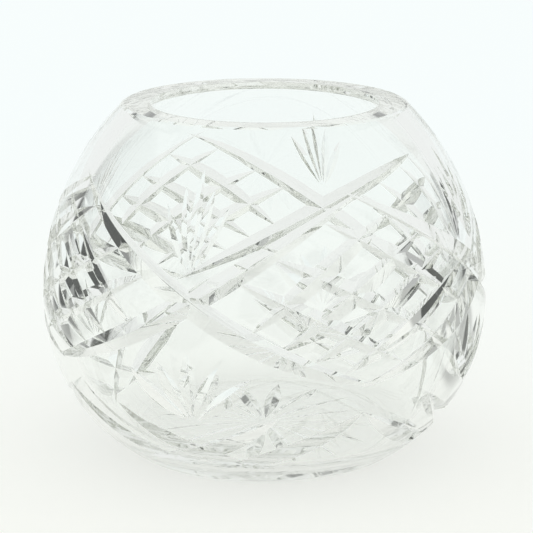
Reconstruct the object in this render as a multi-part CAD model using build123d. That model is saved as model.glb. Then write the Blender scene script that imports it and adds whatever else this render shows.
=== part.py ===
from build123d import *
import math
import os

# A clear cut-crystal rose bowl: one thick blown globe of glass, ground flat at its rim and base
# and then cut all round on a mitre wheel. It is a single piece with nothing fixed to it.
# Millimetres, +Z up, origin at the middle of the base. Azimuth is measured in degrees round +Z
# from -Y towards +X, and the first junction of the pattern is at azimuth 0.

# Blown globe
waist_diameter = 140.0
waist_height = 48.6
overall_height = 110.0
base_diameter = 85.4
rim_diameter = 88.4
mouth_diameter = 69.0
waist_wall = 7.0
floor_thickness = 7.5
floor_corner_radius = 15.0
lower_arc_step = 4.0
rim_outer_bevel = 0.5
rim_inner_bevel = 1.1
base_bevel = 0.8
seam_azimuth = 33.0

# Mitre wheel
wheel_half_angle = 55.0
wheel_clearance = 0.6
tip_run_out = 0.5

# Panels round the waist, which meet tip to tip at the junctions
panel_count = 4
junction_above_waist = 13.9
panel_top_below_rim = 18.5
panel_foot_below_waist = 11.1

# Long cuts that border the panels
border_depth = 2.6
border_corner_depth = 0.4
border_run_out = 6.0

# Cross-cuts that divide each panel into diamonds, closer set one way than the other. The feet lie on
# the panel's lower borders and the heads on its upper ones, in degrees from one of its junctions.
cross_cut_depth = 2.2
close_cut_feet = (15.0, 23.0, 30.6, 38.2)
close_cut_heads = (54.0, 63.9, 72.5, 81.0)
wide_cut_heads = (11.3, 20.9, 34.9)
wide_cut_feet = (54.5, 65.3, 77.4)

# Leaf cuts that fan out above and below each junction, made with a broader wheel
fan_wheel_half_angle = 65.0
fan_leaves = 5
fan_root_gap = 0.1
upper_fan_depth = 0.7
upper_fan_above_junction = 7.0
upper_fan_top_below_rim = 10.5
upper_fan_step = 4.6
upper_fan_drop = 5.0
lower_fan_depth = 1.25
lower_fan_below_waist = 23.6
lower_fan_top_below_waist = 0.6
lower_fan_step = 7.8
lower_fan_drop = 3.5

# Lower band: a zigzag under the panels and a cross under each junction
band_depth = 2.5
band_top = 28.0
band_bottom = 8.0
zigzag_gap = 2.0
cross_half_width = 22.5

# Star under the base
star_rays = 16
star_depth = 1.7
star_inner_radius = 3.0
star_margin = 6.0

# Sizes that follow from those above
waist_radius = waist_diameter / 2
base_radius = base_diameter / 2
rim_radius = rim_diameter / 2
mouth_radius = mouth_diameter / 2
inner_waist_radius = waist_radius - waist_wall
panel_pitch = 360.0 / panel_count
half_pitch = panel_pitch / 2
junction_height = waist_height + junction_above_waist
panel_top = overall_height - panel_top_below_rim
panel_foot = waist_height - panel_foot_below_waist


def arc_radius(edge_radius, edge_height):
    """Radius of the outer arc that is upright at the waist and ends at the given edge."""
    inset = waist_radius - edge_radius
    rise = edge_height - waist_height
    return (inset ** 2 + rise ** 2) / (2 * inset)


lower_arc = arc_radius(base_radius, 0.0)
upper_arc = arc_radius(rim_radius, overall_height)


def globe():
    """The uncut glass: outer and inner profiles of tangent arcs, turned about Z."""
    waist = (waist_radius, waist_height)
    inner_waist = (inner_waist_radius, waist_height)
    # Below the waist the hollow follows a tighter arc than the outside, down to a rounded corner.
    inner_lower_arc = lower_arc - lower_arc_step
    corner_swing = inner_lower_arc - floor_corner_radius
    corner_turn = math.asin((waist_height - floor_thickness - floor_corner_radius) / corner_swing)
    arc_middle = inner_waist_radius - inner_lower_arc
    corner_start = (
        arc_middle + inner_lower_arc * math.cos(corner_turn),
        waist_height - inner_lower_arc * math.sin(corner_turn),
    )
    corner_heading = (-math.sin(corner_turn), -math.cos(corner_turn))
    floor_edge = (arc_middle + corner_swing * math.cos(corner_turn), floor_thickness)
    floor_middle = (0.0, floor_thickness)
    base_edge = (base_radius, 0.0)
    rim_edge = (rim_radius, overall_height)
    mouth_edge = (mouth_radius, overall_height)
    outline = [
        Line((0.0, 0.0), base_edge),
        TangentArc(waist, base_edge, tangent=(0, -1)),
        TangentArc(waist, rim_edge, tangent=(0, 1)),
        Line(rim_edge, mouth_edge),
        TangentArc(inner_waist, mouth_edge, tangent=(0, 1)),
        TangentArc(inner_waist, corner_start, tangent=(0, -1)),
        TangentArc(corner_start, floor_edge, tangent=corner_heading),
        Line(floor_edge, floor_middle),
        Line(floor_middle, (0.0, 0.0)),
    ]
    # The seam of the turned faces lies away from the junctions, where no cut follows it.
    section = (Plane.XZ * make_face(outline)).rotate(Axis.Z, seam_azimuth)
    glass = revolve(section, Axis.Z)
    base_rings, *_, rim_rings = glass.edges().filter_by(GeomType.CIRCLE).group_by(Axis.Z)
    glass = chamfer(rim_rings.sort_by(SortBy.RADIUS)[-1], rim_outer_bevel)
    glass = chamfer(rim_rings.sort_by(SortBy.RADIUS)[0], rim_inner_bevel)
    return chamfer(base_rings.sort_by(SortBy.RADIUS)[-1], base_bevel).solid()


def skin_arc(height):
    """Radius of the outer arc at a height, and how far its centre lies from the axis."""
    radius = upper_arc if height > waist_height else lower_arc
    return radius, waist_radius - radius


def skin(azimuth, height):
    """Point on the outer face of the uncut globe."""
    radius, centre = skin_arc(height)
    reach = centre + math.sqrt(radius ** 2 - (height - waist_height) ** 2)
    turn = math.radians(azimuth)
    return Vector(reach * math.sin(turn), -reach * math.cos(turn), height)


def skin_over(point):
    """Outer point nearest to a point in the glass, and the outward direction there."""
    radius, centre = skin_arc(point.Z)
    flat = Vector(point.X, point.Y, 0.0)
    across = flat.normalized()
    outward = (across * (flat.length - centre) + Vector(0, 0, point.Z - waist_height)).normalized()
    return across * centre + Vector(0, 0, waist_height) + outward * radius, outward


def wheel_cut(start, middle, finish, outward, depth, run_out=tip_run_out, half_angle=wheel_half_angle):
    """V groove along the circle through three bottom points, square to the glass at the middle one."""
    bottom = ThreePointArc(start, middle, finish)
    centre = bottom.arc_center
    spoke = middle - centre
    axis = Axis(centre, (start - centre).cross(spoke))
    along = axis.direction.cross(spoke).normalized()
    opening = (outward - along * outward.dot(along)).normalized()
    height = depth + wheel_clearance
    lip = middle + opening * height
    spread = along.cross(opening) * (height * math.tan(math.radians(half_angle)))
    section = make_face(Polyline(middle, lip + spread, lip - spread, close=True))
    extra = math.degrees(run_out / bottom.radius)
    before = spoke.get_angle(start - centre) + extra
    after = spoke.get_angle(finish - centre) + extra
    return revolve(section.rotate(axis, -before), axis, before + after)


def skin_cut(start, finish, depth, half_angle=wheel_half_angle):
    """Groove on the globe with a pointed tip at each end and its full depth midway."""
    middle, outward = skin_over((start + finish) / 2)
    return wheel_cut(start, middle - outward * depth, finish, outward, depth, half_angle=half_angle)


def between(first, last, share):
    """Outer point a share of the way between two places given as azimuth and height."""
    return skin(*[a + (b - a) * share for a, b in zip(first, last)])


def border_cut(azimuth, start_height, finish_height):
    """Long cut from a corner of one panel through a junction to a corner of the next."""
    start = skin(azimuth - half_pitch, start_height)
    junction = skin(azimuth, junction_height)
    finish = skin(azimuth + half_pitch, finish_height)
    outward = skin_over(junction)[1]
    middle = junction - outward * border_depth
    sink = outward * border_corner_depth
    return wheel_cut(start - sink, middle, finish - sink, outward, border_depth, border_run_out)


def border_place(azimuth, side, degrees, corner_height):
    """Point on a panel's border, some degrees to one side of a junction."""
    share = 1 - abs(degrees / half_pitch - 1)
    return skin(azimuth + side * degrees, junction_height + (corner_height - junction_height) * share)


def cross_cuts(azimuth, side):
    """Cross-cuts of the panel to one side of a junction: the close-set ones and the wide-set ones."""
    close_set = []
    wide_set = []
    for foot, head in zip(close_cut_feet, close_cut_heads):
        start = border_place(azimuth, side, foot, panel_foot)
        finish = border_place(azimuth, side, head, panel_top)
        close_set.append(skin_cut(start, finish, cross_cut_depth))
    for head, foot in zip(wide_cut_heads, wide_cut_feet):
        start = border_place(azimuth, side, head, panel_top)
        finish = border_place(azimuth, side, foot, panel_foot)
        wide_set.append(skin_cut(start, finish, cross_cut_depth))
    return close_set, wide_set


def fan_leaf(azimuth, leaf, root_height, top_height, step, drop, depth):
    """One of the leaf cuts that spread upwards from a root, the middle one highest."""
    place = leaf - (fan_leaves - 1) / 2
    root = (azimuth, root_height)
    tip = (azimuth + step * place, top_height - drop * abs(place))
    return skin_cut(between(root, tip, fan_root_gap), skin(*tip), depth, fan_wheel_half_angle)


def upper_fan_leaf(azimuth, leaf):
    """Leaf of the narrow fan above a junction."""
    root_height = junction_height + upper_fan_above_junction
    top_height = overall_height - upper_fan_top_below_rim
    return fan_leaf(azimuth, leaf, root_height, top_height, upper_fan_step, upper_fan_drop, upper_fan_depth)


def lower_fan_leaf(azimuth, leaf):
    """Leaf of the broad fan below a junction."""
    root_height = waist_height - lower_fan_below_waist
    top_height = waist_height - lower_fan_top_below_waist
    return fan_leaf(azimuth, leaf, root_height, top_height, lower_fan_step, lower_fan_drop, lower_fan_depth)


def band_cuts(azimuth, side):
    """Zigzag leg and cross arm of the lower band that rise from a junction to one side."""
    leg_foot = skin(azimuth + side * zigzag_gap, band_bottom)
    leg_top = skin(azimuth + side * half_pitch, band_top)
    arm_foot = skin(azimuth - side * cross_half_width, band_bottom)
    arm_top = skin(azimuth + side * cross_half_width, band_top)
    return [skin_cut(leg_foot, leg_top, band_depth), skin_cut(arm_foot, arm_top, band_depth)]


def star_rays_cuts():
    """Rays of the star under the base, deepest midway and pointed at both ends."""
    down = Vector(0, 0, -1)
    tip_radius = base_radius - star_margin
    rays = []
    for index in range(star_rays):
        turn = math.radians((index + 0.5) * 360.0 / star_rays)
        along = Vector(math.sin(turn), -math.cos(turn), 0.0)
        start = along * star_inner_radius
        finish = along * tip_radius
        middle = (start + finish) / 2 - down * star_depth
        rays.append(wheel_cut(start, middle, finish, down, star_depth))
    return rays


def pattern():
    """Every cut on the globe, in families whose cuts don't cross each other in the glass."""
    leaf_families = []
    for leaf in range(fan_leaves):
        leaves = []
        for index in range(panel_count):
            leaves.append(upper_fan_leaf(index * panel_pitch, leaf))
            leaves.append(lower_fan_leaf(index * panel_pitch, leaf))
        leaf_families.append(leaves)
    rising_band = []
    falling_band = []
    rising_borders = []
    falling_borders = []
    rising_cross_cuts = []
    falling_cross_cuts = []
    for index in range(panel_count):
        azimuth = index * panel_pitch
        rising_band += band_cuts(azimuth, 1)
        falling_band += band_cuts(azimuth, -1)
        rising_borders.append(border_cut(azimuth, panel_foot, panel_top))
        falling_borders.append(border_cut(azimuth, panel_top, panel_foot))
        # Neighbouring panels are mirror images, so every second one is measured from its far junction.
        if index % 2 == 0:
            rising, falling = cross_cuts(azimuth, 1)
        else:
            falling, rising = cross_cuts(azimuth + panel_pitch, -1)
        rising_cross_cuts += rising
        falling_cross_cuts += falling
    return leaf_families + [
        rising_band,
        falling_band,
        rising_borders,
        falling_borders,
        rising_cross_cuts,
        falling_cross_cuts,
    ]


os.makedirs("parts", exist_ok=True)
bowl = globe()
for ray in star_rays_cuts():
    bowl = bowl.cut(ray)
for family in pattern():
    bowl = bowl.cut(*family)
bowl = bowl.solid()
bowl.label = "bowl"
export_step(bowl, "parts/bowl.step")
print("bowl faces", len(bowl.faces()), "volume", round(bowl.volume), "mm3")
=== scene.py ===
# %% [markdown]
# # A cut-crystal rose bowl
# The object is one thick globe of clear lead crystal, ground flat at its rim and base and cut all
# round on a mitre wheel. The CAD frame holds its true size and every cut. Glass shows each facet
# of a coarse mesh, so this lesson makes the same bowl again as a fine one, gives it a crystal
# finish and stands it on a pale studio floor.

# %% Load the frame
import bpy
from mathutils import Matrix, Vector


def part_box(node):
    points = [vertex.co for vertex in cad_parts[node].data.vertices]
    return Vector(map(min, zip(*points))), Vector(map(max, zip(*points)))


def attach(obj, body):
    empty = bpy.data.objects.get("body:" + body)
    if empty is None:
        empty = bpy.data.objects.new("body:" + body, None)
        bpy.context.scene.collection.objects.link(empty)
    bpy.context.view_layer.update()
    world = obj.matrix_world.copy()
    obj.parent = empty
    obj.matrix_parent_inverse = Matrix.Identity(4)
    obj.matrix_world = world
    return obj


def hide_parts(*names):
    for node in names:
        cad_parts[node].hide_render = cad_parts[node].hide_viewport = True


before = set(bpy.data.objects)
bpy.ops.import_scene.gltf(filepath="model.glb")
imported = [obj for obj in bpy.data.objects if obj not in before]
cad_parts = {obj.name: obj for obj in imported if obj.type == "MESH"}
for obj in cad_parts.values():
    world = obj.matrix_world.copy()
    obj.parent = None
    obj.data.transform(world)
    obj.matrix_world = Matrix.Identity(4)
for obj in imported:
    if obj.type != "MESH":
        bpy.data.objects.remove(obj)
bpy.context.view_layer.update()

# %% [markdown]
# ## The camera
# The view was fitted to the photograph's rim, waist and base: a long lens, a little above the rim,
# turned so that the first junction of the pattern stands left of the middle. Aiming an ordinary
# camera with a track rotation is the plainest way to set this up, and a very small shift then
# brings the bowl to the same place in the square frame.

# %% Set up the camera
import math
import bpy
from mathutils import Matrix, Vector

scene = bpy.context.scene
scene.view_settings.view_transform = "Standard"
view_azimuth = math.radians(18.84)
view_elevation = math.radians(14.46)
view_distance = 0.700
aim = Vector((0.0, 0.0, 0.056))

towards_camera = Vector((
    math.cos(view_elevation) * math.sin(view_azimuth),
    -math.cos(view_elevation) * math.cos(view_azimuth),
    math.sin(view_elevation),
))
lens = bpy.data.cameras.new("photo_camera")
lens.lens = 149.1
lens.sensor_width = 36.0
lens.shift_x = 0.0037
lens.shift_y = 0.0057
camera = bpy.data.objects.new("photo_camera", lens)
camera.location = aim + towards_camera * view_distance
camera.rotation_euler = (-towards_camera).to_track_quat("-Z", "Y").to_euler()
scene.collection.objects.link(camera)
scene.camera = camera
print("Camera stands at", [round(c, 4) for c in camera.location])

# %% [markdown]
# ## The blown globe
# Before it is cut, the bowl is a turned shape. Its outside is two arcs that meet upright at the
# waist, and its inside is two more arcs down to a flat floor. A profile line turned about the upright
# axis gives exactly that: a ring of points for each point of the profile, joined by quads. Small
# steps keep the refraction smooth. Work is in millimetres, with the outer sizes taken from the
# frame, and the mesh is brought to metres at the end.

# %% Sizes of the globe
MM = 0.001
lowest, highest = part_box("bowl")
waist_radius = round((highest.x - lowest.x) / 2 / MM, 1)
overall_height = round(highest.z / MM, 1)
waist_height = 48.6
base_radius = 42.7
rim_radius = 44.2
mouth_radius = 34.5
waist_wall = 7.0
floor_thickness = 7.5
floor_corner = 15.0
lower_arc_step = 4.0
rim_outer_bevel = 0.5
rim_inner_bevel = 1.1
base_bevel = 0.8
inner_waist_radius = waist_radius - waist_wall


def upright_arc(waist, edge, edge_height):
    """Radius of an arc that is upright at the waist and ends at an edge of the given radius."""
    inset = waist - edge
    rise = edge_height - waist_height
    return (inset ** 2 + rise ** 2) / (2 * inset)


lower_arc = upright_arc(waist_radius, base_radius, 0.0)
upper_arc = upright_arc(waist_radius, rim_radius, overall_height)
inner_arc = upright_arc(inner_waist_radius, mouth_radius, overall_height)
inner_lower_arc = lower_arc - lower_arc_step
print("Arc radii in mm", [round(r, 1) for r in (lower_arc, upper_arc, inner_arc, inner_lower_arc)])

# %% Draw the profile
profile_step = 0.9
fewest_arc_steps = 2


def arc_line(waist, radius, from_height, to_height):
    """Points (radius, height) along an upright arc between two heights, evenly spaced along it."""
    start = math.asin((from_height - waist_height) / radius)
    finish = math.asin((to_height - waist_height) / radius)
    count = max(fewest_arc_steps, round(abs(finish - start) * radius / profile_step))
    angles = [start + (finish - start) * index / count for index in range(count + 1)]
    centre = waist - radius
    return [(centre + radius * math.cos(a), waist_height + radius * math.sin(a)) for a in angles]


profile = [(base_radius - base_bevel, 0.0)]
profile += arc_line(waist_radius, lower_arc, base_bevel, waist_height)
profile += arc_line(waist_radius, upper_arc, waist_height, overall_height - rim_outer_bevel)[1:]
profile += [(rim_radius - rim_outer_bevel, overall_height)]
profile += [(mouth_radius + rim_inner_bevel, overall_height)]
profile += arc_line(inner_waist_radius, inner_arc, overall_height - rim_inner_bevel, waist_height)

# The corner of the floor is a small arc inside the inner lower one, tangent to it and to the floor.
corner_swing = inner_lower_arc - floor_corner
corner_turn = math.asin((waist_height - floor_thickness - floor_corner) / corner_swing)
corner_height = waist_height - inner_lower_arc * math.sin(corner_turn)
corner_centre = inner_waist_radius - inner_lower_arc + corner_swing * math.cos(corner_turn)
corner_steps = round((math.pi / 2 - corner_turn) * floor_corner / profile_step)
profile += arc_line(inner_waist_radius, inner_lower_arc, waist_height, corner_height)[1:]
for step in range(1, corner_steps + 1):
    turn = corner_turn + (math.pi / 2 - corner_turn) * step / corner_steps
    radius = corner_centre + floor_corner * math.cos(turn)
    profile.append((radius, floor_thickness + floor_corner * (1 - math.sin(turn))))
print("Profile has", len(profile), "points")

# %% Turn the globe
import bmesh

turn_steps = 304


def ring(radius, height):
    """A level circle of points round the upright axis."""
    turns = [2 * math.pi * index / turn_steps for index in range(turn_steps)]
    return [Vector((radius * math.sin(t), -radius * math.cos(t), height)) for t in turns]


def add_tube(shape, rings):
    """Join rings of points with quads and cap both ends, which makes a closed solid."""
    loops = [[shape.verts.new(point) for point in points] for points in rings]
    for lower, upper in zip(loops, loops[1:]):
        for index in range(len(lower)):
            shape.faces.new((lower[index - 1], lower[index], upper[index], upper[index - 1]))
    shape.faces.new(loops[0])
    shape.faces.new(loops[-1])


def mesh_piece(name, shape):
    """Turn a finished bmesh into an object, from millimetres to metres, its faces outwards."""
    bmesh.ops.recalc_face_normals(shape, faces=shape.faces)
    mesh = bpy.data.meshes.new(name)
    shape.to_mesh(mesh)
    shape.free()
    mesh.transform(Matrix.Scale(MM, 4))
    piece = bpy.data.objects.new(name, mesh)
    scene.collection.objects.link(piece)
    return piece


globe = bmesh.new()
add_tube(globe, [ring(radius, height) for radius, height in profile])
crystal = mesh_piece("cut_crystal_bowl", globe)
print("Blown globe has", len(crystal.data.polygons), "faces")

# %% [markdown]
# ## The mitre wheel
# A cutter presses the glass on a spinning wheel with a V edge, so each cut is a groove that is
# deepest in the middle and runs out to a point. The groove's bottom is an arc of a circle. Sweeping
# a V about that circle's centre makes a solid the shape of what the wheel takes away, and Boolean
# modifiers subtract those solids as the wheel would.

# %% Places on the glass


def skin_arc(height):
    """Radius of the outer arc at a height, and how far its centre lies from the axis."""
    radius = upper_arc if height > waist_height else lower_arc
    return radius, waist_radius - radius


def skin(azimuth, height):
    """Point on the outside of the globe; azimuth 0 is -Y and 90 degrees is +X."""
    radius, centre = skin_arc(height)
    reach = centre + math.sqrt(radius ** 2 - (height - waist_height) ** 2)
    turn = math.radians(azimuth)
    return Vector((reach * math.sin(turn), -reach * math.cos(turn), height))


def skin_over(point):
    """Nearest point on the outside of the globe, and the outward direction there."""
    radius, centre = skin_arc(point.z)
    across = Vector((point.x, point.y, 0.0))
    reach = across.length
    across.normalize()
    outward = across * (reach - centre) + Vector((0.0, 0.0, point.z - waist_height))
    outward.normalize()
    return across * centre + Vector((0.0, 0.0, waist_height)) + outward * radius, outward


def between(first, last, share):
    """Point on the glass a share of the way between two places given as azimuth and height."""
    return skin(*[a + (b - a) * share for a, b in zip(first, last)])


print("The waist's point at azimuth 0, in mm:", [round(c, 1) for c in skin(0.0, waist_height)])

# %% One cut of the wheel
wheel_half_angle = math.radians(55.0)
wheel_clearance = 0.6
tip_run_out = 0.5
cut_step = 0.9
fewest_cut_steps = 8


def circle_centre(first, second, third):
    """Centre of the circle through three points."""
    leg = second - first
    chord = third - first
    normal = leg.cross(chord)
    reach = normal.cross(leg) * chord.length_squared + chord.cross(normal) * leg.length_squared
    return first + reach / (2 * normal.length_squared)


def wheel_cut(cuts, bottom, outward, depth, run_out=tip_run_out, half_angle=wheel_half_angle):
    """Add the solid that the wheel takes away along the arc through three bottom points."""
    start, middle, finish = bottom
    centre = circle_centre(start, middle, finish)
    spoke = middle - centre
    axis = (start - centre).cross(spoke).normalized()
    along = axis.cross(spoke).normalized()
    opening = (outward - along * outward.dot(along)).normalized()
    height = depth + wheel_clearance
    spread = along.cross(opening) * height * math.tan(half_angle)
    before = spoke.angle(start - centre) + run_out / spoke.length
    after = spoke.angle(finish - centre) + run_out / spoke.length
    lip = middle + opening * height
    section = [point - centre for point in (middle, lip + spread, lip - spread)]
    steps = max(fewest_cut_steps, round((before + after) * spoke.length / cut_step))
    rings = []
    for step in range(steps + 1):
        turn = Matrix.Rotation((before + after) * step / steps - before, 3, axis)
        rings.append([centre + turn @ point for point in section])
    add_tube(cuts, rings)


def skin_cut(cuts, start, finish, depth, half_angle=wheel_half_angle):
    """Add a cut with a pointed tip at each end, the wheel square to the glass midway."""
    middle, outward = skin_over((start + finish) / 2)
    bottom = (start, middle - outward * depth, finish)
    wheel_cut(cuts, bottom, outward, depth, half_angle=half_angle)


print("Wheel edge opens to", round(math.degrees(2 * wheel_half_angle)), "degrees")

# %% [markdown]
# ## Cutting the pattern
# The traditional layout has four panels of diamonds round the waist, leaf fans above and below each
# junction where two panels meet, a zigzag with crosses round the foot and a star under the base.
# Cuts that don't cross each other form a family and are subtracted together, and the families
# follow one another, so the deep mitres and their crossings come out as they do on the wheel.

# %% Star under the base
star_rays = 16
star_depth = 1.7
star_inner_radius = 3.0
star_margin = 6.0


def subtract(name, cuts):
    """Cut one family of wheel cuts out of the crystal."""
    wheel = mesh_piece(name, cuts)
    cut = crystal.modifiers.new(name, "BOOLEAN")
    cut.operation = "DIFFERENCE"
    cut.solver = "MANIFOLD"
    cut.object = wheel
    bpy.context.view_layer.objects.active = crystal
    bpy.ops.object.modifier_apply(modifier=name)
    bpy.data.objects.remove(wheel)
    print("After", name, "the crystal has", len(crystal.data.polygons), "faces")


star = bmesh.new()
for index in range(star_rays):
    turn = math.radians((index + 0.5) * 360.0 / star_rays)
    along = Vector((math.sin(turn), -math.cos(turn), 0.0))
    ray_start = along * star_inner_radius
    ray_finish = along * (base_radius - star_margin)
    ray_middle = (ray_start + ray_finish) / 2 + Vector((0.0, 0.0, star_depth))
    wheel_cut(star, (ray_start, ray_middle, ray_finish), Vector((0, 0, -1)), star_depth)
subtract("star", star)

# %% Leaf fans
panel_count = 4
panel_pitch = 360.0 / panel_count
half_pitch = panel_pitch / 2
junction_above_waist = 13.9
junction_height = waist_height + junction_above_waist
fan_wheel_half_angle = math.radians(65.0)
fan_leaves = 5
fan_root_gap = 0.1
upper_fan_above_junction = 7.0
upper_fan_top_below_rim = 10.5
lower_fan_below_waist = 23.6
lower_fan_top_below_waist = 0.6
# The tips of a fan stand a step of degrees apart, and each outer one drops by so many millimetres.
upper_fan = {
    "root": junction_height + upper_fan_above_junction,
    "top": overall_height - upper_fan_top_below_rim,
    "step": 4.6,
    "drop": 5.0,
    "depth": 0.7,
}
lower_fan = {
    "root": waist_height - lower_fan_below_waist,
    "top": waist_height - lower_fan_top_below_waist,
    "step": 7.8,
    "drop": 3.5,
    "depth": 1.25,
}

for leaf in range(fan_leaves):
    leaves = bmesh.new()
    place = leaf - (fan_leaves - 1) / 2
    for index in range(panel_count):
        azimuth = index * panel_pitch
        for fan in (upper_fan, lower_fan):
            root = (azimuth, fan["root"])
            tip = (azimuth + fan["step"] * place, fan["top"] - fan["drop"] * abs(place))
            start = between(root, tip, fan_root_gap)
            skin_cut(leaves, start, skin(*tip), fan["depth"], fan_wheel_half_angle)
    subtract("fan_leaf_%d" % leaf, leaves)

# %% Zigzag and crosses round the foot
band_depth = 2.5
band_top = 28.0
band_bottom = 8.0
zigzag_gap = 2.0
cross_half_width = 22.5

for name, side in (("rising_band", 1), ("falling_band", -1)):
    band = bmesh.new()
    for index in range(panel_count):
        azimuth = index * panel_pitch
        leg_foot = skin(azimuth + side * zigzag_gap, band_bottom)
        leg_top = skin(azimuth + side * half_pitch, band_top)
        arm_foot = skin(azimuth - side * cross_half_width, band_bottom)
        arm_top = skin(azimuth + side * cross_half_width, band_top)
        skin_cut(band, leg_foot, leg_top, band_depth)
        skin_cut(band, arm_foot, arm_top, band_depth)
    subtract(name, band)

# %% Borders of the panels
panel_top_below_rim = 18.5
panel_foot_below_waist = 11.1
panel_top = overall_height - panel_top_below_rim
panel_foot = waist_height - panel_foot_below_waist
border_depth = 2.6
border_corner_depth = 0.4
border_run_out = 6.0

for name, start_height, finish_height in (
    ("rising_borders", panel_foot, panel_top),
    ("falling_borders", panel_top, panel_foot),
):
    borders = bmesh.new()
    for index in range(panel_count):
        azimuth = index * panel_pitch
        junction = skin(azimuth, junction_height)
        outward = skin_over(junction)[1]
        sink = outward * border_corner_depth
        start = skin(azimuth - half_pitch, start_height) - sink
        finish = skin(azimuth + half_pitch, finish_height) - sink
        bottom = (start, junction - outward * border_depth, finish)
        wheel_cut(borders, bottom, outward, border_depth, border_run_out)
    subtract(name, borders)

# %% Diamonds in the panels
cross_cut_depth = 2.2
close_cut_feet = (15.0, 23.0, 30.6, 38.2)
close_cut_heads = (54.0, 63.9, 72.5, 81.0)
wide_cut_heads = (11.3, 20.9, 34.9)
wide_cut_feet = (54.5, 65.3, 77.4)


def border_place(azimuth, side, degrees, corner_height):
    """Point on a panel's border, some degrees to one side of a junction."""
    share = 1 - abs(degrees / half_pitch - 1)
    return skin(azimuth + side * degrees, junction_height + (corner_height - junction_height) * share)


rising = bmesh.new()
falling = bmesh.new()
for index in range(panel_count):
    # Neighbouring panels are mirror images, so every second one is measured from its far junction.
    if index % 2 == 0:
        azimuth, side, close_set, wide_set = index * panel_pitch, 1, rising, falling
    else:
        azimuth, side, close_set, wide_set = (index + 1) * panel_pitch, -1, falling, rising
    for foot, head in zip(close_cut_feet, close_cut_heads):
        cut_foot = border_place(azimuth, side, foot, panel_foot)
        cut_head = border_place(azimuth, side, head, panel_top)
        skin_cut(close_set, cut_foot, cut_head, cross_cut_depth)
    for head, foot in zip(wide_cut_heads, wide_cut_feet):
        cut_head = border_place(azimuth, side, head, panel_top)
        cut_foot = border_place(azimuth, side, foot, panel_foot)
        skin_cut(wide_set, cut_head, cut_foot, cross_cut_depth)
subtract("rising_diamonds", rising)
subtract("falling_diamonds", falling)

# %% [markdown]
# ## Polished faces and crisp edges
# The blown and cut faces are curved and smooth, and they meet in crisp edges. Smooth shading with
# sharp edges wherever two faces meet at more than a few degrees shows both.

# %% Mark the crisp edges
crisp_angle = math.radians(12.0)
crystal.data.shade_smooth()
crystal.data.set_sharp_from_angle(angle=crisp_angle)
print("Crystal mesh:", len(crystal.data.vertices), "points,", len(crystal.data.polygons), "faces")

# %% [markdown]
# ## Lead crystal
# Lead crystal is clear, almost colourless and bends light more than window glass. The Principled
# shader with full transmission and no roughness does that. Light that runs a long way inside the
# thick wall loses a little, blue most of all, so a thin volume absorption is added: it greys the rim
# and the edges as in real glass. Polishing leaves the faces very slightly wavy, and a noise of a few
# millimetres' wavelength, about a hundredth of a millimetre high, gives that through a bump.

# %% Colours and nodes


def linear(hex_colour):
    """Turn an sRGB hex colour into Blender's linear colour with full alpha."""
    values = []
    for place in (0, 2, 4):
        value = int(hex_colour[place:place + 2], 16) / 255
        values.append(value / 12.92 if value <= 0.04045 else ((value + 0.055) / 1.055) ** 2.4)
    return (*values, 1.0)


def add_node(tree, kind, settings=None, inputs=None, links=None):
    """Add one node, set its properties and input values, and link outputs of others into it."""
    node = tree.nodes.new(kind)
    for name, value in (settings or {}).items():
        setattr(node, name, value)
    for name, value in (inputs or {}).items():
        node.inputs[name].default_value = value
    for name, socket in (links or {}).items():
        tree.links.new(socket, node.inputs[name])
    return node


def new_material(name):
    """An empty node material, and its tree."""
    material = bpy.data.materials.new(name)
    material.use_nodes = True
    material.node_tree.nodes.clear()
    return material, material.node_tree


print("A middle grey, 808080, is", round(linear("808080")[0], 3), "in linear light")

# %% Make the crystal material
# Clear to the eye, with crisp bright and dark facets and a faint grey where the glass is thick.
crystal_ior = 1.545
polish_wave = 7.0
polish_height = 0.010
absorption_per_metre = 3.2
lead_crystal, tree = new_material("lead_crystal_polished")
coordinates = add_node(tree, "ShaderNodeTexCoord")
waves = add_node(tree, "ShaderNodeTexNoise", inputs={
    "Scale": 1.0 / (polish_wave * MM),
    "Detail": 1.0,
}, links={"Vector": coordinates.outputs["Object"]})
polish = add_node(tree, "ShaderNodeBump", inputs={
    "Strength": 1.0,
    "Distance": polish_height * MM,
}, links={"Height": waves.outputs["Fac"]})
crystal_shader = add_node(tree, "ShaderNodeBsdfPrincipled", inputs={
    "Base Color": linear("FEFFFE"),
    "Roughness": 0.0,
    "IOR": crystal_ior,
    "Transmission Weight": 1.0,
}, links={"Normal": polish.outputs["Normal"]})
absorption = add_node(tree, "ShaderNodeVolumeAbsorption", inputs={
    "Color": linear("D3D5CC"),
    "Density": absorption_per_metre,
})
add_node(tree, "ShaderNodeOutputMaterial", links={
    "Surface": crystal_shader.outputs["BSDF"],
    "Volume": absorption.outputs["Volume"],
})
crystal.data.materials.clear()
crystal.data.materials.append(lead_crystal)
print("Crystal bends light by an index of", crystal_ior)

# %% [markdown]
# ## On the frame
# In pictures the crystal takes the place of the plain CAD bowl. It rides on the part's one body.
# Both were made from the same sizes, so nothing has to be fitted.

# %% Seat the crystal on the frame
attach(crystal, "root")
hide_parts("bowl")
print(crystal.name, "takes the place of the CAD bowl")

# %% [markdown]
# ## Cards round the bowl
# Clear glass has no look of its own: its facets only show what they turn towards, and in an all
# white room they would vanish. Photographers of glass stand dark and grey cards round it, just out
# of the picture, and the reflections of those draw the facets. Modelled boards would also show
# through the glass and shade the paper, so these cards are tones in the paper and the surround, met
# only by light that the glass has both let in and reflected.

# %% Place the cards
card_tone = linear("3A3D3A")
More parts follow.
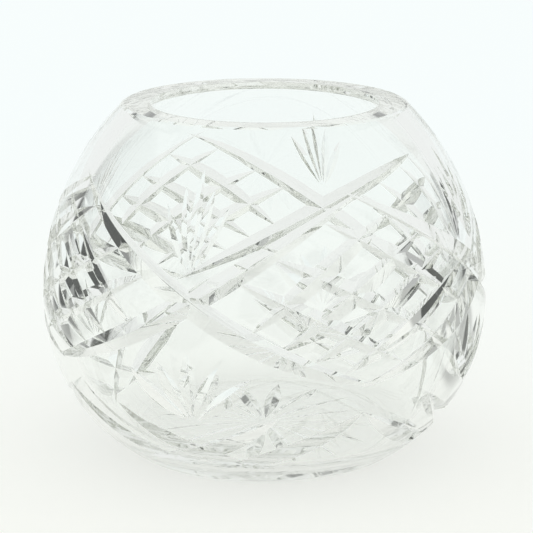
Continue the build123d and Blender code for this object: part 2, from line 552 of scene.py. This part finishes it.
# As seen from the bowl, a card's turn is to the right of straight back and its rise is above level.
# Its shade is full out to the core and gone at the edge. All but the shade are in degrees.
dark_cards = (
    {"turn": -74.0, "rise": 2.0, "core": 14.0, "edge": 16.5, "shade": 1.0},
    {"turn": -53.0, "rise": -2.0, "core": 11.0, "edge": 13.5, "shade": 1.0},
    {"turn": -72.0, "rise": 10.0, "core": 27.0, "edge": 31.0, "shade": 0.75},
    {"turn": 68.0, "rise": -2.0, "core": 9.0, "edge": 11.5, "shade": 1.0},
    {"turn": 66.0, "rise": 15.0, "core": 5.0, "edge": 7.0, "shade": 1.0},
    {"turn": 84.0, "rise": -13.0, "core": 9.0, "edge": 11.5, "shade": 1.0},
    {"turn": 78.0, "rise": -6.0, "core": 22.0, "edge": 26.0, "shade": 0.5},
    {"turn": 129.0, "rise": 0.0, "core": 13.0, "edge": 16.0, "shade": 1.0},
    {"turn": 179.0, "rise": 0.0, "core": 13.0, "edge": 16.0, "shade": 1.0},
    {"turn": -141.0, "rise": 0.0, "core": 13.0, "edge": 16.0, "shade": 1.0},
)
studio_right = Vector((math.cos(view_azimuth), math.sin(view_azimuth), 0.0))
studio_back = Vector((-math.sin(view_azimuth), math.cos(view_azimuth), 0.0))


def share_along(tree, vector, axis, start, finish, most=1.0):
    """How far a vector reaches along an axis, as a smooth share between two reaches."""
    reach = add_node(tree, "ShaderNodeVectorMath", {"operation": "DOT_PRODUCT"}, {1: axis}, {0: vector})
    share = add_node(tree, "ShaderNodeMapRange", {"interpolation_type": "SMOOTHSTEP"}, {
        "From Min": start,
        "From Max": finish,
        "To Max": most,
    }, {"Value": reach.outputs["Value"]})
    return share.outputs["Result"]


def card_share(tree, direction, card):
    """The card's shade towards its middle, fading to 0 at its edge."""
    turn = math.radians(card["turn"])
    rise = math.radians(card["rise"])
    level = studio_back * math.cos(turn) + studio_right * math.sin(turn)
    middle = level * math.cos(rise) + Vector((0.0, 0.0, math.sin(rise)))
    edge, core = (math.cos(math.radians(card[name])) for name in ("edge", "core"))
    return share_along(tree, direction, middle, edge, core, card["shade"])


def cards_met(tree, direction):
    """The darkest card's shade in a direction, for light that the glass has let in and reflected."""
    darkest = card_share(tree, direction, dark_cards[0])
    for card in dark_cards[1:]:
        either = add_node(tree, "ShaderNodeMath", {"operation": "MAXIMUM"}, None, {
            0: darkest,
            1: card_share(tree, direction, card),
        })
        darkest = either.outputs["Value"]
    path = add_node(tree, "ShaderNodeLightPath")
    inside = add_node(tree, "ShaderNodeMath", {"operation": "MULTIPLY", "use_clamp": True}, None, {
        0: path.outputs["Glossy Depth"],
        1: path.outputs["Transmission Depth"],
    })
    met = add_node(tree, "ShaderNodeMath", {"operation": "MULTIPLY"}, None, {
        0: darkest,
        1: inside.outputs["Value"],
    })
    return met.outputs["Value"]


print("Cards round the bowl:", len(dark_cards))

# %% [markdown]
# ## Paper floor
# The bowl stands on white paper, slightly warm in front and cooler towards the back. A large plane
# does for it. Part of its white is a glow that the camera and the glass see but that lights nothing
# matt, which keeps the paper pale, and the rest is matt and takes the bowl's soft shadow.

# %% Lay the floor
floor_side = 6.0
floor_drop = 0.0002
half = floor_side / 2
corners = [(-half, -half, 0.0), (half, -half, 0.0), (half, half, 0.0), (-half, half, 0.0)]
floor_mesh = bpy.data.meshes.new("studio_floor")
floor_mesh.from_pydata(corners, [], [(0, 1, 2, 3)])
floor = bpy.data.objects.new("studio_floor", floor_mesh)
floor.location.z = -floor_drop
scene.collection.objects.link(floor)
print("Paper floor is", floor_side, "m wide")

# %% Make the paper material
# Matt to the eye and almost white, without any grain at this distance.
paper_front = -0.20
paper_back = 0.60
paper_glow = 0.76
paper_matt = 0.39
bowl_middle = (0.0, 0.0, 0.05)
paper, tree = new_material("white_studio_paper")
spot = add_node(tree, "ShaderNodeNewGeometry").outputs["Position"]
plain_tone = add_node(tree, "ShaderNodeMix", {"data_type": "RGBA"}, {
    "A": linear("F0F1EC"),
    "B": linear("EDF2F2"),
}, {"Factor": share_along(tree, spot, studio_back, paper_front, paper_back)})
offset = add_node(tree, "ShaderNodeVectorMath", {"operation": "SUBTRACT"}, {1: bowl_middle}, {0: spot})
outwards = add_node(tree, "ShaderNodeVectorMath", {"operation": "NORMALIZE"}, None, {
    0: offset.outputs["Vector"],
})
tone = add_node(tree, "ShaderNodeMix", {"data_type": "RGBA"}, {"B": card_tone}, {
    "Factor": cards_met(tree, outwards.outputs["Vector"]),
    "A": plain_tone.outputs["Result"],
}).outputs["Result"]
matt_tone = add_node(tree, "ShaderNodeVectorMath", {"operation": "SCALE"}, {"Scale": paper_matt}, {0: tone})
matt = add_node(tree, "ShaderNodeBsdfDiffuse", links={"Color": matt_tone.outputs["Vector"]})
path = add_node(tree, "ShaderNodeLightPath")
seen = add_node(tree, "ShaderNodeMath", {"operation": "SUBTRACT"}, {0: 1.0}, {
    1: path.outputs["Is Diffuse Ray"],
})
strength = add_node(tree, "ShaderNodeMath", {"operation": "MULTIPLY"}, {1: paper_glow}, {
    0: seen.outputs["Value"],
})
glow = add_node(tree, "ShaderNodeEmission", links={"Color": tone, "Strength": strength.outputs["Value"]})
lit = add_node(tree, "ShaderNodeAddShader", links={0: matt.outputs["BSDF"], 1: glow.outputs["Emission"]})
add_node(tree, "ShaderNodeOutputMaterial", links={"Surface": lit.outputs["Shader"]})
floor_mesh.materials.append(paper)
print("Paper glows at", paper_glow, "and takes shadow at", paper_matt)

# %% [markdown]
# ## Studio light
# The light is a plain, nearly white surround of strength 1, so that colours render as they are
# written. It is a little greyer than the paper, which sets facets that look up apart from those that
# look down, and the cards stand in it as they do on the paper. Light that crosses this much cut
# glass turns many corners, so the number of bounces is raised.

# %% Light the studio
light_bounces = 96
world = bpy.data.worlds.new("studio_light")
world.use_nodes = True
tree = world.node_tree
tree.nodes.clear()
direction = add_node(tree, "ShaderNodeTexCoord").outputs["Generated"]
room = add_node(tree, "ShaderNodeMix", {"data_type": "RGBA"}, {
    "A": linear("F1F3F2"),
    "B": card_tone,
}, {"Factor": cards_met(tree, direction)})
shine = add_node(tree, "ShaderNodeBackground", inputs={"Strength": 1.0}, links={
    "Color": room.outputs["Result"],
})
add_node(tree, "ShaderNodeOutputWorld", links={"Surface": shine.outputs["Background"]})
scene.world = world
scene.cycles.max_bounces = light_bounces
scene.cycles.transmission_bounces = light_bounces
scene.cycles.glossy_bounces = light_bounces
print("Studio light strength", shine.inputs["Strength"].default_value)
